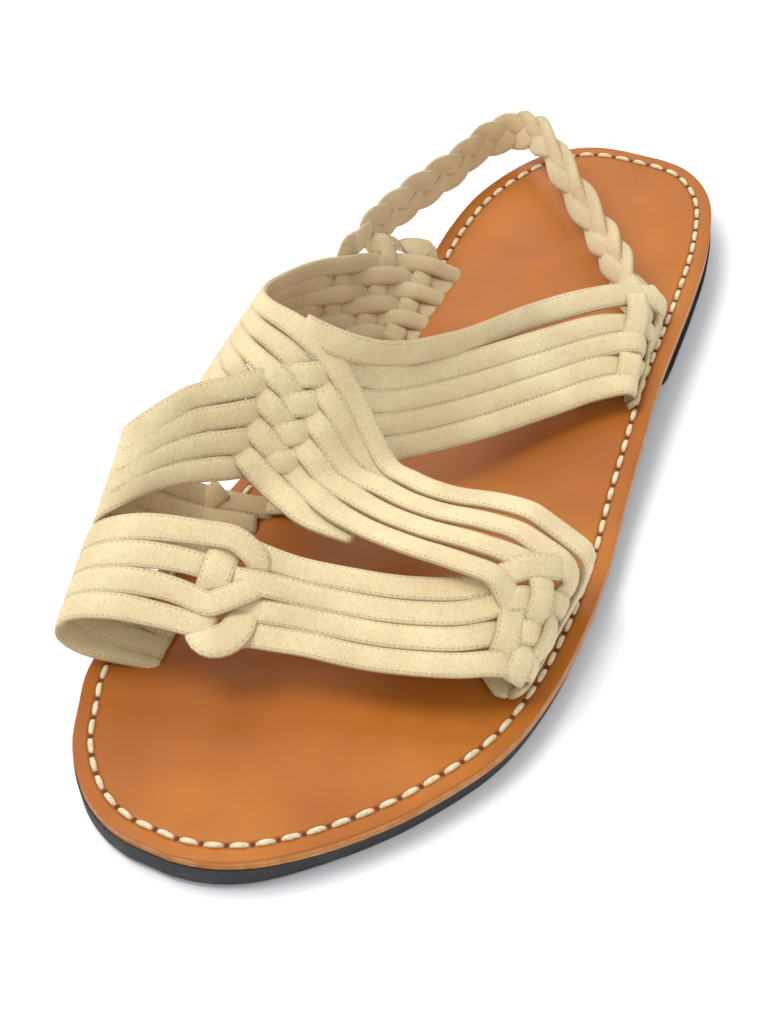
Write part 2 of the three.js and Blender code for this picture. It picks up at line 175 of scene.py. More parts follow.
def curve_point(points, part):
    """A point on the smooth curve through the given points."""
    last = len(points) - 1
    spot = min(max(part, 0.0), 1.0) * last
    i = min(int(spot), last - 1)
    w = spot - i
    p1, p2 = points[i], points[i + 1]
    p0 = points[i - 1] if i > 0 else p1 * 2 - p2
    p3 = points[i + 2] if i + 2 <= last else p2 * 2 - p1
    d0, d1, d2 = (max(math.sqrt((a - b).length), 1e-3) for a, b in ((p0, p1), (p1, p2), (p2, p3)))
    t1 = ((p1 - p0) / d0 - (p2 - p0) / (d0 + d1) + (p2 - p1) / d1) * d1
    t2 = ((p2 - p1) / d1 - (p3 - p1) / (d1 + d2) + (p3 - p2) / d2) * d1
    square = p2 * 3 - p1 * 3 - t1 * 2 - t2
    cube = p1 * 2 - p2 * 2 + t1 + t2
    return p1 + t1 * w + square * (w * w) + cube * (w ** 3)


class Band:
    """A sheet of straps between a heel-side edge and a toe-side edge."""

    def __init__(self, name):
        rows = BAND_TABLES[name]
        self.heel = [Vector((r[0] - ORIGIN_X, r[1], r[2])) for r in rows]
        self.toe = [Vector((r[3] - ORIGIN_X, r[4], r[5])) for r in rows]
        self.outward = BAND_OUTWARD[name]
        self.samples = []
        for i in range(BAND_SAMPLES + 1):
            along = i / BAND_SAMPLES
            self.samples.append((along, curve_point(self.heel, along), curve_point(self.toe, along)))

    def point(self, along, across):
        return curve_point(self.heel, along).lerp(curve_point(self.toe, along), across)

    def place(self, along, across, lift=0.0):
        """A place on the sheet and its outward direction, at a height above the sheet."""
        here = self.point(along, across)
        tangent = self.point(along + 0.008, across) - self.point(along - 0.008, across)
        side = self.point(along, across + 0.1) - self.point(along, across - 0.1)
        normal = side.cross(tangent).normalized() * self.outward
        return here + normal * lift, normal

    def nearest(self, spot, start, end):
        """Where a spot lies on the sheet: along, across, and the step from the spot to the sheet."""
        best = None
        for along, heel, toe in self.samples:
            if not start <= along <= end:
                continue
            chord = toe - heel
            across = (spot - heel).dot(chord) / chord.length_squared
            step = heel + chord * across - spot
            if best is None or step.length < best[2].length:
                best = (along, across, step)
        return best


BANDS = {name: Band(name) for name in BAND_TABLES}


def bump(distance):
    """A smooth hump one strap wide on each side."""
    return 0.5 * (1 + math.cos(math.pi * distance)) if abs(distance) < 1 else 0.0


def rear_is_over(rear, front):
    """Whether a rear-band strap passes over a front-band strap at the cross."""
    return front == rear + 1 or front >= rear + 3


def front_lane(strap, along):
    """Where a front-band strap runs across its band: six straps in the cross, four on the outer arm."""
    inner = (strap + 0.5) / FRONT_COUNT
    cross = FRONT_FIRST_LANE + FRONT_LANE_STEP * strap
    arm = FRONT_ARM_LANES[strap]
    lane = arm + (cross - arm) * smooth_step(0.34, 0.46, along)
    return lane + (inner - lane) * smooth_step(0.62, 0.74, along)


def cross_lift(kind, strap, spot, normal, lift_size):
    """Rise over or under the other band's straps at the cross, with both bands settled together."""
    is_rear = kind == "rear"
    count = FRONT_COUNT if is_rear else REAR_COUNT
    _, across, step = BANDS["front" if is_rear else "rear"].nearest(spot, 0.3, 0.72)
    number = (across - FRONT_FIRST_LANE) / FRONT_LANE_STEP if is_rear else across * count - 0.5
    if step.length > CROSSING_FAR or number < -1.4 or number > count + 0.4:
        return 0.0
    lift = 0.0
    for j in range(count):
        is_over = rear_is_over(strap, j) if is_rear else not rear_is_over(j, strap)
        lift += (1 if is_over else -1) * bump(number - j)
    window = smooth_step(-1.4, -0.4, number) * smooth_step(count + 0.4, count - 0.6, number)
    window *= 1 - smooth_step(CROSSING_NEAR, CROSSING_FAR, step.length)
    return lift * lift_size * window + 0.5 * step.dot(normal) * window


def sheet_path(band_name, knots, count):
    """A path on a band's sheet through knots of (along, across, lift)."""
    band = BANDS[band_name]
    points = [Vector(knot) for knot in knots]
    path = []
    for i in range(count + 1):
        along, across, lift = curve_point(points, i / count)
        path.append(band.place(along, across, lift))
    return path


def even_path(path, spacing):
    """The same path with its stations a fixed distance apart."""
    spots = [spot for spot, _ in path]
    lengths = [0.0]
    for a, b in zip(spots, spots[1:]):
        lengths.append(lengths[-1] + (b - a).length)
    count = max(int(lengths[-1] / spacing), 4)
    stations = []
    i = 0
    for k in range(count + 1):
        target = lengths[-1] * k / count
        while i < len(spots) - 2 and lengths[i + 1] < target:
            i += 1
        span = max(lengths[i + 1] - lengths[i], 1e-6)
        w = min(max((target - lengths[i]) / span, 0.0), 1.0)
        stations.append((spots[i].lerp(spots[i + 1], w), path[i][1].lerp(path[i + 1][1], w).normalized()))
    return stations


def soften_path(path, rounds):
    """Evens out the small kinks of a path and of its outward directions."""
    for _ in range(rounds):
        inner = []
        for (p0, n0), (p1, n1), (p2, n2) in zip(path, path[1:], path[2:]):
            inner.append((p1 * 0.5 + (p0 + p2) * 0.25, (n1 * 2 + n0 + n2).normalized()))
        path = [path[0]] + inner + [path[-1]]
    return path


def sweep_tape(bm, path, width, thick, round_ends=(False, False), spacing=1.5):
    """Sweeps a flat tube of folded tape along a path. Its width is a number or a function of the place."""
    layers = bm.verts.layers.float_vector
    tape = layers.get("tape") or layers.new("tape")
    stations = soften_path(even_path(path, spacing), 2)
    count = len(stations) - 1
    before = None
    travelled = 0.0
    for i, (spot, outward) in enumerate(stations):
        ahead = stations[min(i + 1, count)][0] - stations[max(i - 1, 0)][0]
        tangent = ahead.normalized()
        side = tangent.cross(outward).normalized()
        normal = side.cross(tangent).normalized()
        if i:
            travelled += (spot - stations[i - 1][0]).length
        half = (width(spot) if callable(width) else width) / 2
        deep = thick / 2
        for end, is_round in ((i, round_ends[0]), (count - i, round_ends[1])):
            if is_round:
                reach = min(end * spacing / ROUND_END_LENGTH, 1.0)
                shrink = math.sqrt(max(1 - (1 - reach) ** 2, 0.02))
                half *= 0.35 + 0.65 * shrink
                deep *= shrink
        ring = bmesh.ops.create_circle(bm, segments=TAPE_SIDES, radius=1)["verts"]
        for k, vert in enumerate(ring):
            angle = 2 * math.pi * k / TAPE_SIDES
            c, s = math.cos(angle), math.sin(angle)
            across = math.copysign(abs(c) ** TAPE_ACROSS_POWER, c)
            out = math.copysign(abs(s) ** TAPE_OUT_POWER, s) * (1 - TAPE_CROWN * across * across)
            vert.co = spot + side * (across * half) + normal * (out * deep)
            vert[tape] = Vector((travelled, across, out))
        near = (edge for vert in ring for edge in vert.link_edges if edge.other_vert(vert) in ring)
        edges = list(dict.fromkeys(near))
        if before is None:
            bmesh.ops.edgeloop_fill(bm, edges=edges)
        else:
            bmesh.ops.bridge_loops(bm, edges=before + edges)
        before = edges
    bmesh.ops.edgeloop_fill(bm, edges=before)


def finish_piece(bm, name, material, nodes):
    """Turns a bmesh in millimetres into a piece that rides on the sandal."""
    bmesh.ops.scale(bm, vec=(MM, MM, MM), verts=bm.verts)
    bmesh.ops.recalc_face_normals(bm, faces=bm.faces)
    mesh = bpy.data.meshes.new(name)
    bm.to_mesh(mesh)
    bm.free()
    for polygon in mesh.polygons:
        polygon.use_smooth = True
    piece = bpy.data.objects.new(name, mesh)
    bpy.context.scene.collection.objects.link(piece)
    mesh.materials.append(material)
    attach(piece, "root")
    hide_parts(*nodes)
    return piece


def node_material(name):
    """A material by name, and when it is new its node tree, its shader and the place on the object."""
    material = bpy.data.materials.get(name)
    if material:
        return material, None, None, None
    material = bpy.data.materials.new(name)
    material.use_nodes = True
    tree = material.node_tree
    place = tree.nodes.new("ShaderNodeTexCoord").outputs["Object"]
    return material, tree, tree.nodes["Principled BSDF"], place


def attribute_node(tree, name):
    """The three parts of a vector that each vertex carries."""
    node = tree.nodes.new("ShaderNodeAttribute")
    node.attribute_name = name
    split = tree.nodes.new("ShaderNodeSeparateXYZ")
    tree.links.new(node.outputs["Vector"], split.inputs[0])
    return split.outputs


def cell_node(tree, coordinates, scale):
    node = tree.nodes.new("ShaderNodeTexVoronoi")
    tree.links.new(coordinates, node.inputs["Vector"])
    node.inputs["Scale"].default_value = scale
    return node.outputs["Distance"]


def math_node(tree, operation, first, second=None, third=None):
    node = tree.nodes.new("ShaderNodeMath")
    node.operation = operation
    for socket, value in zip(node.inputs, (first, second, third)):
        if value is None:
            continue
        if isinstance(value, (int, float)):
            socket.default_value = value
        else:
            tree.links.new(value, socket)
    return node.outputs[0]


def wave_node(tree, value, pitch):
    """A sine wave that repeats at a pitch."""
    turns = math_node(tree, "MULTIPLY", value, 2 * math.pi / pitch)
    return math_node(tree, "SINE", turns)


def distance_node(tree, value, middle):
    """How far a value lies from a middle, without its sign."""
    return math_node(tree, "ABSOLUTE", math_node(tree, "SUBTRACT", value, middle))


def darker(colour, part):
    return tuple(c * part for c in colour)


def range_node(tree, value, low, high, to_low, to_high):
    """A smooth step from one pair of values to another."""
    node = tree.nodes.new("ShaderNodeMapRange")
    node.interpolation_type = "SMOOTHSTEP"
    tree.links.new(value, node.inputs["Value"])
    labels = ("From Min", "From Max", "To Min", "To Max")
    for label, number in zip(labels, (low, high, to_low, to_high)):
        node.inputs[label].default_value = number
    return node.outputs[0]


def noise_node(tree, coordinates, scale, detail=3.0, roughness=0.55):
    node = tree.nodes.new("ShaderNodeTexNoise")
    tree.links.new(coordinates, node.inputs["Vector"])
    node.inputs["Scale"].default_value = scale
    node.inputs["Detail"].default_value = detail
    node.inputs["Roughness"].default_value = roughness
    return node.outputs["Fac"]


def mix_node(tree, factor, first, second):
    node = tree.nodes.new("ShaderNodeMix")
    node.data_type = "RGBA"
    tree.links.new(factor, node.inputs["Factor"])
    for socket, value in ((node.inputs[6], first), (node.inputs[7], second)):
        if isinstance(value, (tuple, list)) or hasattr(value, "hsv"):
            socket.default_value = (*tuple(value)[:3], 1)
        else:
            tree.links.new(value, socket)
    return node.outputs[2]


def bump_node(tree, height, distance, strength=1.0, below=None):
    node = tree.nodes.new("ShaderNodeBump")
    node.inputs["Strength"].default_value = strength
    node.inputs["Distance"].default_value = distance
    tree.links.new(height, node.inputs["Height"])
    if below is not None:
        tree.links.new(below, node.inputs["Normal"])
    return node.outputs["Normal"]


def tape_fabric():
    """Ribbed cotton tape: fine ribs across, a dotted hem near each edge, softer at the folds, with painted
    shade darkening the folded edges and the tape's inner face.
    """
    settings = bpy.context.scene.sandal_straps
    material, tree, shader, place = node_material("cotton_tape")
    if tree is None:
        return material
    along, across, out = attribute_node(tree, "tape")
    edge = math_node(tree, "ABSOLUTE", across)
    wander = noise_node(tree, place, 160, 2)
    shifted = math_node(tree, "MULTIPLY_ADD", wander, 0.9, along)
    rib = wave_node(tree, shifted, settings.rib_pitch)
    thread = wave_node(tree, across, 2 * THREAD_PITCH / settings.width)
    crossed = math_node(tree, "MULTIPLY", rib, thread)
    weave = math_node(tree, "MULTIPLY_ADD", crossed, 0.5, rib)
    hem_out = range_node(tree, edge, 0.74, 0.79, 0, 1)
    hem_in = range_node(tree, edge, 0.79, 0.84, 1, 0)
    hem = math_node(tree, "MULTIPLY", hem_out, hem_in)
    dots = range_node(tree, wave_node(tree, along, HEM_STITCH_PITCH), -0.4, 0.5, 0.15, 1)
    dotted = math_node(tree, "MULTIPLY", hem, dots)
    cloudy = noise_node(tree, place, 55, 4)
    speckle = noise_node(tree, place, 1400, 2)
    clouds = range_node(tree, cloudy, 0.3, 0.7, 0, 1)
    tone = mix_node(tree, clouds, settings.shade_colour, settings.tape_colour)
    grain = range_node(tree, speckle, 0.35, 0.62, 0.22, 0)
    tone = mix_node(tree, grain, tone, darker(settings.shade_colour, 0.6))
    # Painted shade: the inner face and the folded edges are darkened toward the fold colour; the hem dots use
    # the same colour as a real mark.
    painted_inner_face_shade = range_node(tree, out, -0.5, 0.1, 0.28, 0)
    painted_fold_shade = range_node(tree, edge, 0.84, 1.0, 0, 0.7)
    hem_line = math_node(tree, "MULTIPLY", dotted, 0.12)
    for amount in (painted_fold_shade, hem_line, painted_inner_face_shade):
        tone = mix_node(tree, amount, tone, settings.fold_shade_and_hem_colour)
    tree.links.new(tone, shader.inputs["Base Color"])
    shader.inputs["Roughness"].default_value = 0.86
    shader.inputs["Sheen Weight"].default_value = 0.22
    shader.inputs["Sheen Roughness"].default_value = 0.55
    coarse = bump_node(tree, cloudy, 0.0006, 0.35)
    ribs = bump_node(tree, weave, 0.00006, 0.6, coarse)
    sunk = math_node(tree, "MULTIPLY", dotted, -1)
    tree.links.new(bump_node(tree, sunk, 0.0003, 0.8, ribs), shader.inputs["Normal"])
    return material


def insole_leather():
    """Smooth tan leather: mottled, darker along the stitch line, with a pale cut edge."""
    settings = bpy.context.scene.sandal_sole
    material, tree, shader, place = node_material("tan_leather")
    if tree is None:
        return material
    rim, depth, _ = attribute_node(tree, "rim")
    broad = noise_node(tree, place, 14, 3)
    mottle = noise_node(tree, place, 120, 5, 0.6)
    grain = cell_node(tree, place, 1500)
    patches = range_node(tree, broad, 0.32, 0.68, 0, 1)
    tone = mix_node(tree, patches, settings.leather_dark, settings.leather_colour)
    trough = distance_node(tree, rim, STITCH_MARGIN)
    spots = range_node(tree, mottle, 0.3, 0.7, 0.25, 0)
    # Darkens the leather within about a millimetre of the stitch line, where the groove is pressed in.
    stitch_line_darkening = range_node(tree, trough, 0.3, 1.3, 0.55, 0)
    for amount in (spots, stitch_line_darkening):
        tone = mix_node(tree, amount, tone, settings.leather_dark)
    layer = range_node(tree, noise_node(tree, place, 300, 2), 0.3, 0.7, 0, 1)
    pale = mix_node(tree, layer, settings.cut_edge, settings.leather_colour)
    tone = mix_node(tree, range_node(tree, depth, 0.5, 0.9, 0, 1), tone, pale)
    seam = distance_node(tree, depth, INSOLE_SEAM_DEPTH)
    glue_line = range_node(tree, seam, 0.0, 0.22, 0.8, 0)
    tone = mix_node(tree, glue_line, tone, settings.leather_dark)
    tree.links.new(tone, shader.inputs["Base Color"])
    tree.links.new(range_node(tree, mottle, 0.25, 0.75, 0.36, 0.5), shader.inputs["Roughness"])
    shader.inputs["Specular IOR Level"].default_value = 0.22
    fine = bump_node(tree, grain, 0.00006, 0.5)
    wavy = bump_node(tree, broad, 0.0012, 0.25, fine)
    pressed = range_node(tree, trough, 0.3, 1.3, 0, 1)
    tree.links.new(bump_node(tree, pressed, 0.0004, 0.8, wavy), shader.inputs["Normal"])
    return material


def sole_rubber():
    """Black sheet rubber with a fine pebble and scuffed, greyer patches."""
    settings = bpy.context.scene.sandal_sole
    material, tree, shader, place = node_material("black_rubber")
    if tree is None:
        return material
    scuff = noise_node(tree, place, 90, 5, 0.65)
    pebble = cell_node(tree, place, 900)
    stretch = tree.nodes.new("ShaderNodeMapping")
    tree.links.new(place, stretch.inputs["Vector"])
    stretch.inputs["Scale"].default_value = (1, 1, 9)
    streak = noise_node(tree, stretch.outputs[0], 140, 3)
    scuffed = range_node(tree, scuff, 0.45, 0.75, 0, 0.6)
    tone = mix_node(tree, scuffed, settings.rubber_colour, settings.rubber_worn)
    tree.links.new(tone, shader.inputs["Base Color"])
    tree.links.new(range_node(tree, scuff, 0.3, 0.7, 0.62, 0.82), shader.inputs["Roughness"])
    fine = bump_node(tree, pebble, 0.00015, 0.6)
    tree.links.new(bump_node(tree, streak, 0.0004, 0.5, fine), shader.inputs["Normal"])
    return material


def stitch_thread():
    """Waxed cream thread with a twist."""
    settings = bpy.context.scene.sandal_sole
    material, tree, shader, place = node_material("waxed_thread")
    if tree is None:
        return material
    fuzz = noise_node(tree, place, 900, 3)
    strands = range_node(tree, fuzz, 0.35, 0.65, 0, 1)
    tone = mix_node(tree, strands, darker(settings.thread_colour, 0.72), settings.thread_colour)
    tree.links.new(tone, shader.inputs["Base Color"])
    shader.inputs["Roughness"].default_value = 0.7
    tree.links.new(bump_node(tree, fuzz, 0.0003, 0.6), shader.inputs["Normal"])
    return material


def hole_shadow():
    """Painted shade: the dark interior of an awl hole, laid as a flat dark disc on the insole."""
    material, tree, shader, place = node_material("awl_hole_shade")
    if tree is None:
        return material
    shade = noise_node(tree, place, 600, 2)
    tone = mix_node(tree, shade, (0.07, 0.026, 0.009), (0.12, 0.045, 0.015))
    tree.links.new(tone, shader.inputs["Base Color"])
    shader.inputs["Roughness"].default_value = 0.9
    return material


OUTER_CURVE = [Vector((row[1] - ORIGIN_X, row[0], 0)) for row in OUTLINE]
INNER_CURVE = [Vector((-row[2] - ORIGIN_X, row[0], 0)) for row in OUTLINE]


def edge_at(curve, y):
    low, high = 0.0, 1.0
    for _ in range(28):
        middle = (low + high) / 2
        if curve_point(curve, middle).y < y:
            low = middle
        else:
            high = middle
    return curve_point(curve, low).x


def outline_loop(grow, from_y=None, count=110):
    """The sole's outline, counter-clockwise seen from above, pushed outward by a distance."""
    start = -LENGTH / 2 if from_y is None else from_y
    outer, inner = [], []
    for i in range(count + 1):
        turn = math.pi * i / count
        ease = (1 - math.cos(turn)) / 2 if from_y is None else math.sin(turn / 2)
        y = start + (LENGTH / 2 - start) * ease
        outer.append(Vector((edge_at(OUTER_CURVE, y), y, 0)))
        inner.append(Vector((edge_at(INNER_CURVE, y), y, 0)))
    up = Vector((0, 0, 1))
    loop = [spot for spot, _ in even_path([(spot, up) for spot in outer + inner[::-1]], OUTLINE_STEP)]
    pushed = []
    for i, spot in enumerate(loop):
        along = loop[(i + 1) % len(loop)] - loop[i - 1]
        away = Vector((along.y, -along.x, 0)).normalized() * grow
        is_cut = from_y is not None and abs(spot.y - start) < 1e-6
        pushed.append(spot + (Vector((away.x, 0, 0)) if is_cut else away))
    return pushed


def rim_distance(spot, loop):
    """Distance of a spot from the outline, seen from above."""
    best = 1e9
    for a, b in zip(loop, loop[1:] + loop[:1]):
        step = b - a
        part = min(max((spot - a).dot(step) / max(step.length_squared, 1e-9), 0.0), 1.0)
        best = min(best, (a + step * part - spot).length)
    return best


def sole_layer(name, material, node, grow, from_y, bottom, top, rings, soften, undercut=0.0):
    """One flat layer of the sole: its outline extruded, inset in rings, cut across and bent to its rise."""
    loop = outline_loop(grow, from_y)
    bm = bmesh.new()
    rim_layer = bm.verts.layers.float_vector.new("rim")
    face = bm.faces.new([bm.verts.new(spot) for spot in loop])
    if face.normal.z < 0:
        bmesh.ops.reverse_faces(bm, faces=[face])
    shell = bmesh.ops.extrude_face_region(bm, geom=[face])
    lifted = [part for part in shell["geom"] if isinstance(part, bmesh.types.BMVert)]
    for vert in lifted:
        vert.co.z = 1
    bm.normal_update()
    bmesh.ops.recalc_face_normals(bm, faces=bm.faces)
    upper = [part for part in bm.faces if part.normal.z > 0.9]
    depth = 0.0
    for ring in rings:
        bmesh.ops.inset_region(bm, faces=upper, thickness=ring - depth, use_even_offset=False)
        depth = ring
    start = loop[0].y if from_y is not None else -LENGTH / 2
    for i in range(1, SOLE_CUTS):
        y = start + (LENGTH / 2 - start) * i / SOLE_CUTS
        everything = bm.verts[:] + bm.edges[:] + bm.faces[:]
        bmesh.ops.bisect_plane(bm, geom=everything, dist=1e-4, plane_co=(0, y, 0), plane_no=(0, 1, 0))
    edges = [edge for edge in bm.edges if len(edge.link_faces) == 2 and edge.calc_face_angle(0) > 1.2]
    for vert in bm.verts:
        vert.co.z = bottom(vert.co.y) if vert.co.z < 0.5 else top(vert.co.y)
    bmesh.ops.bevel(
        bm, geom=edges, offset=soften, offset_type="OFFSET", segments=3, profile=0.5, affect="EDGES",
        material=-1, clamp_overlap=True)
    flat_loop = [Vector((spot.x, spot.y, 0)) for spot in loop]
    for vert in bm.verts:
        depth_part = (top(vert.co.y) - vert.co.z) / max(top(vert.co.y) - bottom(vert.co.y), 0.1)
        vert.co.x -= undercut * (0.35 + 0.65 * depth_part) * smooth_step(8, 34, vert.co.x)
    for vert in bm.verts:
        rim = rim_distance(Vector((vert.co.x, vert.co.y, 0)), flat_loop)
        vert[rim_layer] = Vector((rim, top(vert.co.y) - vert.co.z, 0))
    piece = finish_piece(bm, name, material, [node])
    piece.data.set_sharp_from_angle(angle=math.radians(40))
    return piece


def millimetres(name, text, size, least=0.0):
    return bpy.props.FloatProperty(name=name, description=text + " in mm", default=size, min=least)


def angle(name, text, degrees):
    turn = math.radians(degrees)
    return bpy.props.FloatProperty(name=name, description=text, default=turn, subtype="ANGLE")


def paint(name, text, colour):
    return bpy.props.FloatVectorProperty(
        name=name, description=text, subtype="COLOR", default=colour, min=0, max=1)


class SandalStraps(bpy.types.PropertyGroup):
    """Sizes and colours of the straps."""
    width: millimetres("Strap width", "Width of a flat strap", 6.7, 3)
    thick: millimetres("Strap thickness", "Thickness of a flat strap", 2.1)
    weave_lift: millimetres("Weave lift", "Rise over a crossed strap", 1.15)
    rib_pitch: millimetres("Rib pitch", "Distance between the tape's ribs", 0.5, 0.05)
    tape_colour: paint("Tape colour", "Main colour of the tape", (0.79, 0.65, 0.37))
    shade_colour: paint("Shade colour", "Darker threads of the tape", (0.68, 0.53, 0.29))
    # Painted shade for the folds and the inner face, and the real colour of the hem dots.
    fold_shade_and_hem_colour: paint("Fold colour", "Colour in folds and hem dots", (0.36, 0.25, 0.11))


class SandalSole(bpy.types.PropertyGroup):
    """Sizes and colours of the sole and its stitches."""
    stitch_pitch: millimetres("Stitch pitch", "Distance between stitches", 5.44, 1)
    stitch_length: millimetres("Stitch length", "Length of one stitch", 4.5)
    stitch_thick: millimetres("Thread width", "Width of the thread", 1.4)
    leather_colour: paint("Leather colour", "Main colour of the insole", (0.46, 0.150, 0.016))
    leather_dark: paint("Leather shade", "Darker mottling of the insole", (0.32, 0.088, 0.008))
    cut_edge: paint("Cut edge", "Raw edge of the leather", (0.55, 0.25, 0.09))
    rubber_colour: paint("Rubber colour", "Colour of the outsole", (0.016, 0.016, 0.019))
    rubber_worn: paint("Worn rubber", "Scuffed rubber", (0.06, 0.06, 0.068))
    thread_colour: paint("Thread colour", "Colour of the stitches", (0.80, 0.66, 0.44))


class SandalStage(bpy.types.PropertyGroup):
    """Floor, lights and camera."""
    floor_colour: paint("Floor colour", "Colour of the floor", (0.93, 0.93, 0.94))
    azimuth: angle("Camera azimuth", "Turn of the camera", 35.05)
    elevation: angle("Camera elevation", "Tilt of the camera", 38.95)
    distance: bpy.props.FloatProperty(
        name="Camera distance", description="Distance of the camera", default=0.5111, unit="LENGTH")
    roll: angle("Camera roll", "Roll of the camera", -5.61)
    lens: millimetres("Lens", "Focal length", 64.0, 1)


class SandalPieceOperator(bpy.types.Operator):
    """Base of the operators that each build one piece."""
    bl_options = {"UNDO"}

    def execute(self, context):
        self.build(context)
        return {"FINISHED"}


class SANDAL_OT_outsole(SandalPieceOperator):
    """Build the rubber outsole"""
    bl_idname = "sandal.outsole"
    bl_label = "Outsole"

    def build(self, context):
        sole_layer(
            "outsole_sheet", sole_rubber(), "rubber_outsole", OUTSOLE_OVERHANG, None, sole_rise,
            lambda y: sole_rise(y) + OUTSOLE_THICK, (1.5,), 0.5, RUBBER_UNDERCUT)


class SANDAL_OT_heel_lift(SandalPieceOperator):
    """Build the rubber heel lift"""
    bl_idname = "sandal.heel_lift"
    bl_label = "Heel lift"

    def build(self, context):
        sole_layer(
            "heel_lift_sheet", sole_rubber(), "rubber_heel_lift", HEEL_OVERHANG, HEEL_FRONT_Y,
            lambda y: 0.0, lambda y: sole_rise(y) - LAYER_GAP, (1.5,), 0.4, RUBBER_UNDERCUT)


class SANDAL_OT_insole(SandalPieceOperator):
    """Build the leather insole"""
    bl_idname = "sandal.insole"
    bl_label = "Insole"

    def build(self, context):
        sole_layer(
            "insole_sheet", insole_leather(), "leather_insole", 0.0, None,
            lambda y: sole_rise(y) + OUTSOLE_THICK + LAYER_GAP, insole_top, INSOLE_RINGS, 0.45)


class SANDAL_OT_stitches(SandalPieceOperator):
    """Sew the row of stitches round the insole"""
    bl_idname = "sandal.stitches"
    bl_label = "Stitches"

    def build(self, context):
        settings = context.scene.sandal_sole
        loop = outline_loop(-STITCH_MARGIN)
        closed = loop + [loop[0]]
        lengths = [0.0]
        for a, b in zip(closed, closed[1:]):
            lengths.append(lengths[-1] + (b - a).length)
        count = round(lengths[-1] / settings.stitch_pitch)

        def spot_at(distance):
            distance %= lengths[-1]
            i = next(k for k in range(len(lengths) - 1) if lengths[k + 1] >= distance)
            part = (distance - lengths[i]) / max(lengths[i + 1] - lengths[i], 1e-9)
            spot = closed[i].lerp(closed[i + 1], part)
            return Vector((spot.x, spot.y, insole_top(spot.y)))

        def heading(distance):
            course = spot_at(distance + 0.6) - spot_at(distance - 0.6)
            return math.atan2(course.y, course.x)

        thread, holes = bmesh.new(), bmesh.new()
        pitch = lengths[-1] / count
        for i in range(count):
            middle = (i + 0.5) * pitch
            wobble = noise.noise(Vector((i * 0.7, 3.1, 0.0)))
            long = settings.stitch_length * (1 + 0.06 * wobble) / 2
            made = bmesh.ops.create_uvsphere(thread, u_segments=10, v_segments=8, radius=1)["verts"]
            for vert in made:
                x, y, z = vert.co
                reach = math.copysign(abs(x) ** 0.7, x)
                sag = 0.55 * abs(reach) ** 4
                vert.co = Vector((reach * long, y * settings.stitch_thick / 2, z * 0.62 + 0.18 - sag))
            place_verts(made, spot_at(middle), heading(middle) + 0.07 * wobble)
            # Each hole is a flat dark disc of painted shade on the insole between two stitches.
            made = bmesh.ops.create_uvsphere(holes, u_segments=10, v_segments=6, radius=1)["verts"]
            for vert in made:
                x, y, z = vert.co
                vert.co = Vector((x * 0.55, y * 0.7, z * 0.12 + 0.02))
            place_verts(made, spot_at(i * pitch), heading(i * pitch))
        finish_piece(thread, "insole_stitches", stitch_thread(), ["leather_insole"])
        finish_piece(holes, "stitch_hole_shade", hole_shadow(), ["leather_insole"])


def finish_straps(bm, name):
    finish_piece(bm, name, tape_fabric(), ["strap_upper"])


def place_verts(verts, spot, turn):
    """Turns verts about the vertical and moves them to a spot."""
    c, s = math.cos(turn), math.sin(turn)
    for vert in verts:
        x, y, z = vert.co
        vert.co = Vector((spot.x + x * c - y * s, spot.y + x * s + y * c, spot.z + z))


# Where the woven columns cross a band's wall, as places along the toe, rear and front bands.
TOE_COLUMNS = (0.972, 0.922, 0.88, 0.84)
REAR_COLUMNS = (0.972, 0.905)
INNER_COLUMNS = (0.865, 0.91, 0.955)
COLUMN_REACH = 0.045
TIE_WIDTH = 1.3
COVERED_DEPTH = 2.6
# The strap ends that lie tucked on the insole: x and y of the middle, the turn in radians and the length.
TUCKED_ENDS = ((45, -60, 2.5, 22), (29, 33, 1.2, 13), (-26, -37, 0.4, 17))


def toe_is_over(strap, column):
    """The first column covers every toe strap, the others go over and under."""
    return column != 0 and (strap + column) % 2 == 0


def wall_is_over(strap, column):
    return (strap + column) % 2 == 0


def column_lift(along, columns, is_over, strap, size, first_straps):
    """Rise of a row strap over or under the woven columns; each column reaches down to its first strap."""
    lift = 0.0
    for c, column in enumerate(columns):
        if strap < first_straps[c]:
            continue
        reach = min(abs(columns[max(c - 1, 0)] - column) or COLUMN_REACH, COLUMN_REACH)
        lift += (1 if is_over(strap, c) else -1) * size * bump((along - column) / reach)
    return lift


